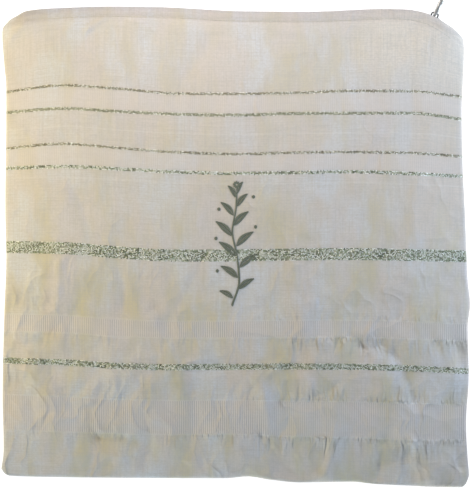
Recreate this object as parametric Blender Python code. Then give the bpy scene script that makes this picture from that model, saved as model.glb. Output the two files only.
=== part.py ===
"""A flat zipped bag of woven cloth, made to hold a prayer shawl.

The bag lies on its back: +X is its right side, +Y its zipped top edge, and
+Z faces up. The origin is on the surface below it, at the middle of its
outline with the pull tab. Lengths in the tables are millimetres.
"""
import math
from collections import namedtuple

import bmesh
import bpy
from mathutils import Matrix, Vector

MM = 0.001

# Cloth and seams
WALL = 1.2 * MM
SEAM_GAP = 0.3 * MM
SEAM_HEIGHT = 2.0 * MM          # middle of the side and bottom seams
BACK_ROLL = SEAM_HEIGHT - SEAM_GAP / 2
EDGE_ROLL = 2.0 * MM            # how far the front turns in above its seam
EDGE_LIFT = 2.0 * MM

# The front panel's fullness
DOME_RISE = 8.6 * MM            # above the rolled edge, at the middle
DOME_SPREAD = 62 * MM           # from a seam to full height
TOP_RISE = 7.8 * MM             # above the rolled edge, along the zip
ZIP_END_SPREAD = 16 * MM        # from a side seam to full height, at the zip
SHOULDER_REACH = 34 * MM
FOLD_FADE = 7 * MM              # creases die out this close to a seam

# The turned edge beside the zip, with its sewn groove
TOP_ROLL = 6.6 * MM
TOP_DROP = 0.33                 # share of the height lost over that roll
GROOVE_DEPTH = 0.7 * MM
GROOVE_HALF_WIDTH = 1.5 * MM
HEM_END = 15.5 * MM
HEM_RAISE = 0.4 * MM

# Zip
TAPE = 1.0 * MM
TAPE_GAP = 0.4 * MM             # tape behind the turned edges
TAPE_SHORT = 0.15 * MM          # and short of them
BACK_SETBACK = 0.6 * MM         # the back's edge lies this far behind the front's
TEETH_GAP = 0.4 * MM
OPEN_GAP = 2.1 * MM             # between the tapes beside the slider's post
LEAST_SLOT = 3.0 * MM           # the tapes end where the edges come this close
SLIDER_AT = 129.2               # along X, mm

SLIDER_LENGTH = 8.0 * MM
SLIDER_WIDTH = 6.2 * MM
PLATE = 0.9 * MM
CHANNEL_HEIGHT = 2.6 * MM
CHANNEL_WIDTH = 5.0 * MM
FLANGE_SLIT = 1.6 * MM
POST_LENGTH = 2.2 * MM
POST_WIDTH = 1.3 * MM
POST_AT = 2.3 * MM
BAIL_HALF_LENGTH = 2.6 * MM
BAIL_CLEAR = 2.2 * MM
BAIL_THICK = 0.9 * MM
BAIL_WIDTH = 1.6 * MM

HINGE_HEIGHT = 1.2 * MM         # pull tab's bar above the slider's plate
BAR_RADIUS = 0.45 * MM
TAB_LENGTH = 11.3 * MM          # from the bar to the tip
TAB_WIDTH = 4.4 * MM
TAB_WAIST = 3.2 * MM
TAB_THICK = 1.7 * MM
EYE_LENGTH = 3.2 * MM
EYE_WIDTH = 2.4 * MM
TAB_LEAN = -2.0                 # degrees from straight out of the zip

PITCH = 10.5 * MM               # spacing of the panels' points
BACK_PITCH = 21 * MM            # and of the back's rows, which are level

# The outline, a row for each bend, from left to right or bottom to top
Bend = namedtuple("Bend", "x y")
TOP_EDGE = [Bend(*row) for row in (
    (-147.0, 145.5), (-143.1, 147.5), (-135.3, 151.2), (-120.4, 152.7),
    (-81.4, 154.0), (-55.4, 153.8), (9.6, 150.9), (48.6, 150.7),
    (97.4, 152.5), (110.4, 152.2), (120.1, 150.7), (129.2, 147.6),
    (137.0, 142.9), (142.9, 139.0), (148.4, 133.2),
)]
BOTTOM_EDGE = [Bend(*row) for row in (
    (-152.2, -146.3), (-150.3, -149.2), (-147.0, -150.9), (-133.4, -151.5),
    (-87.9, -152.2), (-6.6, -152.6), (8.3, -151.4), (22.6, -153.5),
    (42.1, -155.3), (75.9, -154.8), (90.9, -156.3), (113.6, -157.4),
    (133.1, -158.2), (147.4, -158.3), (150.3, -156.1),
)]
LEFT_EDGE = [Bend(*row) for row in (
    (-152.2, -146.3), (-150.7, -134.0), (-151.4, -101.5), (-150.6, -54.7),
    (-149.0, -7.9), (-149.6, 23.3), (-149.0, 85.7), (-149.0, 101.3),
    (-150.3, 116.9), (-151.6, 136.4), (-151.2, 140.3), (-149.3, 142.9),
    (-147.0, 145.5),
)]
RIGHT_EDGE = [Bend(*row) for row in (
    (150.3, -156.1), (152.2, -150.2), (151.5, -141.8), (150.3, -117.1),
    (152.0, -85.9), (151.3, -54.7), (152.8, -39.1), (151.3, -23.5),
    (149.4, 23.3), (148.1, 50.0), (147.4, 85.7), (148.7, 116.9),
    (149.0, 126.0), (148.4, 133.2),
)]

# The front's largest creases, a row for each: a ridge rises, a trough falls
Crease = namedtuple("Crease", "start_x start_y end_x end_y rise half_width")
CREASES = [Crease(*row) for row in (
    (-16, 134, -31, 112, -1.0, 9),
    (140, 126, 110, 105, 1.3, 9),
    (112, 104, 113, 61, -1.0, 8),
    (118, 44, 116, 0, 1.0, 9),
    (-109, 44, -94, 7, -1.2, 9),
    (-115, -12, -117, -43, 1.0, 9),
    (-75, -15, -73, -43, -0.9, 8),
    (-55, -50, -34, -100, 1.3, 9),
    (-118, -82, -90, -125, -1.4, 10),
    (-90, -125, -60, -131, -1.0, 8),
    (38, -15, 51, -75, 1.2, 9),
    (77, -60, 86, -76, -1.2, 8),
    (96, -67, 116, -100, -1.6, 9),
    (14, -88, 21, -125, 1.2, 9),
    (21, -125, 42, -151, -1.8, 10),
    (62, -127, 56, -151, 1.3, 8),
    (96, -127, 92, -153, -1.0, 8),
    (114, -127, 127, -153, 1.4, 8),
)]


def clear_scene():
    for item in list(bpy.data.objects):
        bpy.data.objects.remove(item, do_unlink=True)


def make_material(name, color, roughness, metallic=0.0):
    material = bpy.data.materials.new(name)
    material.use_nodes = True
    shader = material.node_tree.nodes["Principled BSDF"]
    shader.inputs["Base Color"].default_value = (*color, 1.0)
    shader.inputs["Roughness"].default_value = roughness
    shader.inputs["Metallic"].default_value = metallic
    material.diffuse_color = (*color, 1.0)
    return material


def turn_outward(bm):
    bmesh.ops.recalc_face_normals(bm, faces=bm.faces)
    if bm.calc_volume(signed=True) < 0:
        bmesh.ops.reverse_faces(bm, faces=bm.faces)


def add_object(name, bm, material):
    mesh = bpy.data.meshes.new(name)
    bm.to_mesh(mesh)
    bm.free()
    mesh.materials.append(material)
    item = bpy.data.objects.new(name, mesh)
    bpy.context.scene.collection.objects.link(item)
    return item


def curve_value(keys, values, at):
    """Smooth value of a table at one place, with no overshoot."""
    last = len(keys) - 1
    index = max(0, min(last - 1, sum(1 for key in keys if key <= at) - 1))
    slopes = [(values[i + 1] - values[i]) / (keys[i + 1] - keys[i]) for i in range(last)]

    def tangent(i):
        if i in (0, last):
            return slopes[min(i, last - 1)]
        before, after = slopes[i - 1], slopes[i]
        if before * after <= 0:
            return 0.0
        return 2 * before * after / (before + after)

    span = keys[index + 1] - keys[index]
    t = (at - keys[index]) / span
    return (
        values[index] * (1 + 2 * t) * (1 - t) ** 2
        + tangent(index) * span * t * (1 - t) ** 2
        + values[index + 1] * t * t * (3 - 2 * t)
        + tangent(index + 1) * span * t * t * (t - 1)
    )


def across_edge(edge, x):
    return curve_value([bend.x for bend in edge], [bend.y for bend in edge], x)


def up_edge(edge, y):
    return curve_value([bend.y for bend in edge], [bend.x for bend in edge], y)


def edge_point(edge, share, upright):
    """A point of an outline edge, in metres, at a share of its way."""
    if upright:
        y = edge[0].y + (edge[-1].y - edge[0].y) * share
        return Vector((up_edge(edge, y), y)) * MM
    x = edge[0].x + (edge[-1].x - edge[0].x) * share
    return Vector((x, across_edge(edge, x))) * MM


def rise(distance, spread):
    """0 at an edge, 1 from `spread` on, with a soft end."""
    t = max(0.0, min(1.0, distance / spread))
    return 1 - (1 - t) ** 2


def roll(distance, radius):
    """Quarter circle: upright at the edge, level at one radius."""
    t = max(0.0, min(1.0, distance / radius))
    return math.sqrt(1 - (1 - t) ** 2)


def crease_height(x, y):
    """Sum of the creases at a place, in metres."""
    total = 0.0
    place = Vector((x, y)) / MM
    for crease in CREASES:
        start = Vector((crease.start_x, crease.start_y))
        way = Vector((crease.end_x, crease.end_y)) - start
        share = (place - start).dot(way) / way.length_squared
        nearest = start + way * max(0.0, min(1.0, share))
        away = (place - nearest).length / crease.half_width
        total += crease.rise * math.exp(-away * away)
    return total * MM


def front_height(gaps, x, y, inset):
    """Height of the front's outer face, or of its inner one at inset WALL.

    The gaps are the distances to the four edges of that face.
    """
    left, right, bottom, top = gaps
    near_top = math.exp(-(top / SHOULDER_REACH) ** 2)
    spread = DOME_SPREAD + (ZIP_END_SPREAD - DOME_SPREAD) * near_top
    full = rise(left, spread) * rise(right, spread) * rise(bottom, DOME_SPREAD)
    turn = EDGE_ROLL - inset
    turned = roll(left, turn) * roll(right, turn) * roll(bottom, turn)
    crown = TOP_RISE + (DOME_RISE - TOP_RISE) * rise(top, DOME_SPREAD)
    height = EDGE_LIFT * turned + crown * full
    drop = max(0.0, TOP_DROP * height - inset * turned)
    height -= inset * turned + drop * (1 - roll(top, TOP_ROLL - inset))
    near_groove = math.exp(-((top + inset - TOP_ROLL) / GROOVE_HALF_WIDTH) ** 2)
    hem = rise(top, TOP_ROLL) * (1 - rise(top - HEM_END, TOP_ROLL))
    fade = rise(left, FOLD_FADE) * rise(right, FOLD_FADE) * rise(bottom, FOLD_FADE)
    detail = HEM_RAISE * hem - GROOVE_DEPTH * near_groove
    detail += crease_height(x, y) * rise(top, TOP_ROLL)
    return SEAM_HEIGHT + SEAM_GAP / 2 + height + detail * fade


def back_height(gaps, inset):
    flat = 1.0
    for gap in gaps:
        flat *= roll(gap, BACK_ROLL - inset)
    return BACK_ROLL - (BACK_ROLL - inset) * flat


def panel_patch(across, up, setback, inset, height):
    """Rows of points that fill the outline, moved in by inset all round.

    The setback moves the edge beside the zip in, away from the zip's ends.
    """
    left_top = edge_point(LEFT_EDGE, 1, True)
    right_top = edge_point(RIGHT_EDGE, 1, True)

    def side(edge, v, inward):
        return edge_point(edge, v, True) + Vector((inset * inward, inset * (1 - 2 * v)))

    def top_side(u):
        high = edge_point(TOP_EDGE, u, False)
        ends = rise(high.x - left_top.x, ZIP_END_SPREAD) * rise(right_top.x - high.x, ZIP_END_SPREAD)
        return high + Vector((inset * (1 - 2 * u), -inset - setback * ends))

    def low_side(u):
        return edge_point(BOTTOM_EDGE, u, False) + Vector((inset * (1 - 2 * u), inset))

    rows = []
    for v in up:
        left, right = side(LEFT_EDGE, v, 1), side(RIGHT_EDGE, v, -1)
        row = []
        for u in across:
            low, high = low_side(u), top_side(u)
            spot = left * (1 - u) + right * u + low * (1 - v) + high * v
            spot -= (low_side(0) * (1 - u) + low_side(1) * u) * (1 - v)
            spot -= (top_side(0) * (1 - u) + top_side(1) * u) * v
            gaps = [spot.x - left.x, right.x - spot.x, spot.y - low.y, high.y - spot.y]
            row.append(Vector((spot.x, spot.y, height(gaps, spot))))
        rows.append(row)
    return rows


def shares(length, start, end, pitch):
    """Places along a panel, as shares: close at both ends, even between."""
    room = length - start[-1] - end[-1]
    steps = max(1, round(room / pitch))
    middle = [start[-1] + room * i / steps for i in range(1, steps)]
    places = list(start) + middle + [length - gap for gap in reversed(end)]
    return [place / length for place in places]


def roll_steps(radius, count, extra, inset):
    """Distances in from an edge: round its roll, then on at wider steps."""
    turn = radius - inset
    turned = [turn * (1 - math.cos(math.pi / 2 * i / count)) for i in range(count + 1)]
    return turned + [value * MM - inset for value in extra]


def grid_rim(grid):
    """The grid's outer points in order, once round."""
    right = [row[-1] for row in grid[1:-1]]
    left = [row[0] for row in grid[1:-1]]
    return grid[0] + right + grid[-1][::-1] + left[::-1]


def cloth_wall(name, outer_points, inner_points, material):
    """A closed wall between two faces given as rows of points."""
    bm = bmesh.new()
    outer = [[bm.verts.new(point) for point in row] for row in outer_points]
    inner = [[bm.verts.new(point) for point in row] for row in inner_points]
    for layer in (outer, inner):
        for row, above in zip(layer, layer[1:]):
            for c in range(len(row) - 1):
                bm.faces.new((row[c], row[c + 1], above[c + 1], above[c]))
    outer_rim, inner_rim = grid_rim(outer), grid_rim(inner)
    for i in range(len(outer_rim)):
        bm.faces.new((outer_rim[i - 1], outer_rim[i], inner_rim[i], inner_rim[i - 1]))
    turn_outward(bm)
    item = add_object(name, bm, material)
    item.data.shade_smooth()
    item.data.set_sharp_from_angle(angle=math.radians(50))
    return item


def panel_size():
    width = (RIGHT_EDGE[0].x - LEFT_EDGE[0].x) * MM
    length = (LEFT_EDGE[-1].y - LEFT_EDGE[0].y) * MM
    return width, length


def add_front_panel(material):
    width, length = panel_size()
    faces = []
    for inset in (0.0, WALL):
        side = roll_steps(EDGE_ROLL, 3, (5, 10, 17), inset)
        top = roll_steps(TOP_ROLL, 5, (8.2, 11.5, HEM_END / MM, 20), inset)
        faces.append(panel_patch(
            shares(width - 2 * inset, side, side, PITCH),
            shares(length - 2 * inset, side, top, PITCH), 0.0, inset,
            lambda gaps, spot: front_height(gaps, spot.x, spot.y, inset)))
    return cloth_wall("front_panel", faces[0], faces[1], material)


def add_back_panel(material):
    width, length = panel_size()
    faces = []
    for inset in (0.0, WALL):
        side = roll_steps(BACK_ROLL, 3, (6, 14), inset)
        faces.append(panel_patch(
            shares(width - 2 * inset, side, side, PITCH),
            shares(length - 2 * inset, side, side, BACK_PITCH), BACK_SETBACK, inset,
            lambda gaps, spot: back_height(gaps, inset)))
    return cloth_wall("back_panel", faces[0], faces[1], material)


ZipStation = namedtuple("ZipStation", "low high along out across")


def zip_station(x):
    """The zip's face at one place: its two sides and its directions."""
    step = 0.5
    before = Vector((x - step, across_edge(TOP_EDGE, x - step), 0))
    after = Vector((x + step, across_edge(TOP_EDGE, x + step), 0))
    along = (after - before).normalized()
    plan_out = Vector((-along.y, along.x, 0))
    edge = Vector((x, across_edge(TOP_EDGE, x), 0)) * MM
    left = (x - LEFT_EDGE[-1].x) * MM
    right = (RIGHT_EDGE[-1].x - x) * MM
    gaps = (left, right, edge.y - across_edge(BOTTOM_EDGE, x) * MM, 0.0)
    setback = BACK_SETBACK * rise(left, ZIP_END_SPREAD) * rise(right, ZIP_END_SPREAD)
    behind = WALL + TAPE_GAP
    high = edge - plan_out * behind
    high.z = front_height(gaps, edge.x, edge.y, 0.0)
    low = edge - plan_out * (behind + setback)
    low.z = BACK_ROLL
    across = (high - low).normalized()
    return ZipStation(low, high, along, across.cross(along), across)


def tape_gap(x):
    """Width of the gap between the tapes: closed teeth, then the open end."""
    beyond = (x - SLIDER_AT) * MM
    opened = rise(beyond + SLIDER_LENGTH / 8, SLIDER_LENGTH / 4)
    return TEETH_GAP + (OPEN_GAP - TEETH_GAP) * opened


def tape_places():
    """Places of the tape's sections along X, in mm, with its slider straight."""
    reach = SLIDER_LENGTH / MM * 0.58
    first = TOP_EDGE[0].x + 6
    last = TOP_EDGE[-1].x - 3
    count = round((last - first) * MM / PITCH)
    even = [first + (last - first) * i / count for i in range(count + 1)]
    places = [x for x in even if abs(x - SLIDER_AT) > reach + 2]
    places += [SLIDER_AT + reach * share for share in (-1, -0.25, 0.25, 1)]
    wide = [x for x in sorted(places) if zip_station(x).high.z - BACK_ROLL > LEAST_SLOT]
    return wide


def sweep(name, loops, material):
    """A closed strip through four-cornered sections."""
    bm = bmesh.new()
    rings = [[bm.verts.new(point) for point in loop] for loop in loops]
    for first, second in zip(rings, rings[1:]):
        for i in range(len(first)):
            j = (i + 1) % len(first)
            bm.faces.new((first[i], first[j], second[j], second[i]))
    bm.faces.new(rings[0])
    bm.faces.new(rings[-1])
    turn_outward(bm)
    return add_object(name, bm, material)


def add_tape(name, front, material):
    loops = []
    for x in tape_places():
        station = zip_station(x)
        middle = (station.low + station.high) / 2
        half = (station.high - station.low).length / 2
        near = tape_gap(x) / 2
        sign = 1 if front else -1
        faces = []
        for reach, depth in ((near, 0), (half - TAPE_SHORT, 0), (half - TAPE_SHORT, TAPE), (near, TAPE)):
            faces.append(middle + station.across * reach * sign - station.out * depth)
        loops.append(faces)
    return sweep(name, loops, material)


def box(name, low, high, material):
    bm = bmesh.new()
    bmesh.ops.create_cube(bm, size=1)
    size = Vector(high) - Vector(low)
    bmesh.ops.scale(bm, vec=size, verts=bm.verts)
    bmesh.ops.translate(bm, vec=(Vector(high) + Vector(low)) / 2, verts=bm.verts)
    return add_object(name, bm, material)


def rod(name, radius, length, segments, material):
    """A round bar along Z, centred."""
    bm = bmesh.new()
    bmesh.ops.create_cone(
        bm, cap_ends=True, segments=segments, radius1=radius, radius2=radius, depth=length)
    return add_object(name, bm, material)


def combine(item, other, operation):
    """Apply a Boolean between two objects and delete the second."""
    modifier = item.modifiers.new(operation, "BOOLEAN")
    modifier.operation = operation
    modifier.object = other
    bpy.context.view_layer.update()
    graph = bpy.context.evaluated_depsgraph_get()
    mesh = bpy.data.meshes.new_from_object(item.evaluated_get(graph))
    item.modifiers.clear()
    item.data = mesh
    bpy.data.objects.remove(other, do_unlink=True)


def bevel_edges(item, width, along):
    """Round the edges that run along one axis (0, 1 or 2)."""
    bm = bmesh.new()
    bm.from_mesh(item.data)
    chosen = []
    for edge in bm.edges:
        way = (edge.verts[1].co - edge.verts[0].co).normalized()
        if abs(way[along]) > 0.99:
            chosen.append(edge)
    bmesh.ops.bevel(
        bm, geom=chosen, offset=width, offset_type="OFFSET", segments=3, profile=0.5,
        affect="EDGES", clamp_overlap=True, material=-1)
    bm.to_mesh(item.data)
    bm.free()


def place(item, station, origin, turn=0.0):
    """Stand an object on the zip: X along it, Y out of it, Z across it."""
    axes = Matrix((station.along, station.out, station.across)).transposed().to_4x4()
    turned = axes @ Matrix.Rotation(math.radians(turn), 4, "Z")
    item.matrix_world = Matrix.Translation(origin) @ turned


def slider_origin(station):
    return (station.low + station.high) / 2 - station.out * TAPE / 2


def add_slider(station, material):
    half = SLIDER_LENGTH / 2
    side = SLIDER_WIDTH / 2
    thick = CHANNEL_HEIGHT / 2 + PLATE
    past = 1.0 * MM
    slider = box("zip_slider", (-half, -thick, -side), (half, thick, side), material)
    bevel_edges(slider, 1.3 * MM, 1)
    channel = (half + past, CHANNEL_HEIGHT / 2, CHANNEL_WIDTH / 2)
    slit = (half + past, FLANGE_SLIT / 2, side + past)
    for corner in (channel, slit):
        cutter = box("cutter", [-value for value in corner], corner, material)
        combine(slider, cutter, "DIFFERENCE")
    bite = PLATE / 2
    post = box(
        "post", (POST_AT - POST_LENGTH / 2, -CHANNEL_HEIGHT / 2 - bite, -POST_WIDTH / 2),
        (POST_AT + POST_LENGTH / 2, CHANNEL_HEIGHT / 2 + bite, POST_WIDTH / 2), material)
    combine(slider, post, "UNION")
    combine(slider, add_bail(thick, material), "UNION")
    slider.data.set_sharp_from_angle(angle=math.radians(35))
    place(slider, station, slider_origin(station))
    return slider


def add_bail(plate_top, material):
    """The arch over the plate that holds the pull tab."""
    outer = BAIL_HALF_LENGTH
    top = plate_top + BAIL_CLEAR + BAIL_THICK
    bail = box(
        "bail", (-outer, plate_top - PLATE / 2, -BAIL_WIDTH / 2), (outer, top, BAIL_WIDTH / 2),
        material)
    bm = bmesh.new()
    bm.from_mesh(bail.data)
    corners = [
        edge for edge in bm.edges
        if all(abs(vert.co.y - top) < 0.1 * MM for vert in edge.verts)
        and abs(edge.verts[0].co.x - edge.verts[1].co.x) < 0.1 * MM
    ]
    bmesh.ops.bevel(
        bm, geom=corners, offset=1.3 * MM, offset_type="OFFSET", segments=4, profile=0.5,
        affect="EDGES", clamp_overlap=True, material=-1)
    bm.to_mesh(bail.data)
    bm.free()
    inner = outer - BAIL_THICK
    space = box(
        "space", (-inner, plate_top - PLATE, -BAIL_WIDTH), (inner, plate_top + BAIL_CLEAR, BAIL_WIDTH),
        material)
    combine(bail, space, "DIFFERENCE")
    return bail


def add_pull_tab(station, material):
    """A flat tab with an eye whose bar lies under the bail."""
    rows = ((0.0, TAB_WIDTH), (EYE_LENGTH + 0.8 * MM, TAB_WIDTH), (0.55 * TAB_LENGTH, TAB_WAIST),
            (TAB_LENGTH - 1.4 * MM, TAB_WIDTH * 0.94), (TAB_LENGTH - 0.4 * MM, TAB_WIDTH * 0.8),
            (TAB_LENGTH, TAB_WIDTH * 0.5))
    outline = [(y, width / 2) for y, width in rows] + [(y, -width / 2) for y, width in reversed(rows)]
    bm = bmesh.new()
    ring = [bm.verts.new((-TAB_THICK / 2, y, z)) for y, z in outline]
    face = bm.faces.new(ring)
    raised = bmesh.ops.extrude_face_region(bm, geom=[face])
    moved = [item for item in raised["geom"] if isinstance(item, bmesh.types.BMVert)]
    bmesh.ops.translate(bm, vec=(TAB_THICK, 0, 0), verts=moved)
    turn_outward(bm)
    tab = add_object("zip_pull_tab", bm, material)
    combine(tab, rod("hub", TAB_THICK / 2, TAB_WIDTH, 16, material), "UNION")
    eye = box(
        "eye", (-TAB_THICK, -TAB_THICK, -EYE_WIDTH / 2), (TAB_THICK, EYE_LENGTH, EYE_WIDTH / 2),
        material)
    combine(tab, eye, "DIFFERENCE")
    bar_length = (EYE_WIDTH + TAB_WIDTH) / 2
    combine(tab, rod("bar", BAR_RADIUS, bar_length, 12, material), "UNION")
    tab.data.set_sharp_from_angle(angle=math.radians(35))
    height = CHANNEL_HEIGHT / 2 + PLATE + HINGE_HEIGHT
    place(tab, station, slider_origin(station) + station.out * height, TAB_LEAN)
    return tab


def main():
    clear_scene()
    cloth = make_material("woven_cloth", (0.72, 0.67, 0.58), 0.75)
    back_cloth = make_material("plain_cloth", (0.70, 0.65, 0.56), 0.8)
    tape = make_material("zip_tape", (0.66, 0.62, 0.54), 0.7)
    metal = make_material("zip_metal", (0.50, 0.50, 0.52), 0.32, 1.0)
    add_front_panel(cloth)
    add_back_panel(back_cloth)
    add_tape("zip_tape_front", True, tape)
    add_tape("zip_tape_back", False, tape)
    station = zip_station(SLIDER_AT)
    add_slider(station, metal)
    add_pull_tab(station, metal)


main()
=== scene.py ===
import math

import bmesh
import bpy
import numpy as np
from mathutils import Matrix, Vector
from mathutils.bvhtree import BVHTree


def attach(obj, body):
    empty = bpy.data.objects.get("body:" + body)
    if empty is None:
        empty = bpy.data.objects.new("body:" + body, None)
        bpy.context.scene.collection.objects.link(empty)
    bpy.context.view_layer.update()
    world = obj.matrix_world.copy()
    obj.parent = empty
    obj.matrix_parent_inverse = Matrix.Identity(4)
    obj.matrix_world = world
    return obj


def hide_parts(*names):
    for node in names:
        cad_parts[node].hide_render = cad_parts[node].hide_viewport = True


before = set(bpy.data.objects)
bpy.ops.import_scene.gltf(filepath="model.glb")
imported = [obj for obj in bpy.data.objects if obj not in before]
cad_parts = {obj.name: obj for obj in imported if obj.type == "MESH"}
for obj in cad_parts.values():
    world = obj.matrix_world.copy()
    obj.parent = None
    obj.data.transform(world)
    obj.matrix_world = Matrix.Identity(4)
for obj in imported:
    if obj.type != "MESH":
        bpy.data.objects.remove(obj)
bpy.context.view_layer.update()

# All tables and shapes below are in millimetres, in the frame of the CAD.
mm = 0.001

topEdge = np.array((
    (-147.0, 145.5), (-143.1, 147.5), (-135.3, 151.2), (-120.4, 152.7),
    (-81.4, 154.0), (-55.4, 153.8), (9.6, 150.9), (48.6, 150.7),
    (97.4, 152.5), (110.4, 152.2), (120.1, 150.7), (129.2, 147.6),
    (137.0, 142.9), (142.9, 139.0), (148.4, 133.2),
))
bottomEdge = np.array((
    (-152.2, -146.3), (-150.3, -149.2), (-147.0, -150.9), (-133.4, -151.5),
    (-87.9, -152.2), (-6.6, -152.6), (8.3, -151.4), (22.6, -153.5),
    (42.1, -155.3), (75.9, -154.8), (90.9, -156.3), (113.6, -157.4),
    (133.1, -158.2), (147.4, -158.3), (150.3, -156.1),
))
leftEdge = np.array((
    (-152.2, -146.3), (-150.7, -134.0), (-151.4, -101.5), (-150.6, -54.7),
    (-149.0, -7.9), (-149.6, 23.3), (-149.0, 85.7), (-149.0, 101.3),
    (-150.3, 116.9), (-151.6, 136.4), (-151.2, 140.3), (-149.3, 142.9),
    (-147.0, 145.5),
))
rightEdge = np.array((
    (150.3, -156.1), (152.2, -150.2), (151.5, -141.8), (150.3, -117.1),
    (152.0, -85.9), (151.3, -54.7), (152.8, -39.1), (151.3, -23.5),
    (149.4, 23.3), (148.1, 50.0), (147.4, 85.7), (148.7, 116.9),
    (149.0, 126.0), (148.4, 133.2),
))

# Seams, folds and the zip, as in the CAD
shape = {
    "seamTop": 2.15, "backRoll": 1.85, "edgeRoll": 2.0, "edgeLift": 2.0,
    "domeRise": 8.6, "domeSpread": 62.0, "topRise": 7.8, "zipEndSpread": 16.0,
    "shoulderReach": 34.0, "foldFade": 7.0, "topRoll": 6.6, "topDrop": 0.33,
    "grooveDepth": 0.7, "grooveWidth": 1.5, "hemEnd": 15.5, "hemFade": 2.5,
    "hemRaise": 0.4, "backSetback": 0.6, "zipBehind": 1.6, "sliderAt": 129.2, "sliderLength": 8.0,
}


def curveValues(table, at, keyColumn=0):
    # smooth values of a table's other column, with no overshoot
    keys, values = table[:, keyColumn], table[:, 1 - keyColumn]
    at = np.asarray(at, float)
    index = np.clip(np.searchsorted(keys, at, side="right") - 1, 0, len(keys) - 2)
    slopes = np.diff(values) / np.diff(keys)
    product = slopes[:-1] * slopes[1:]
    total = np.where(product > 0, slopes[:-1] + slopes[1:], 1.0)
    inner = np.where(product > 0, 2 * product / total, 0.0)
    tangents = np.concatenate(([slopes[0]], inner, [slopes[-1]]))
    span = keys[index + 1] - keys[index]
    t = (at - keys[index]) / span
    return (
        values[index] * (1 + 2 * t) * (1 - t) ** 2
        + tangents[index] * span * t * (1 - t) ** 2
        + values[index + 1] * t * t * (3 - 2 * t)
        + tangents[index + 1] * span * t * t * (t - 1)
    )


def easeIn(distance, spread):
    t = np.clip(np.asarray(distance, float) / spread, 0.0, 1.0)
    return 1 - (1 - t) ** 2


def quarterRound(distance, radius):
    t = np.clip(np.asarray(distance, float) / radius, 0.0, 1.0)
    return np.sqrt(1 - (1 - t) ** 2)


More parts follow.
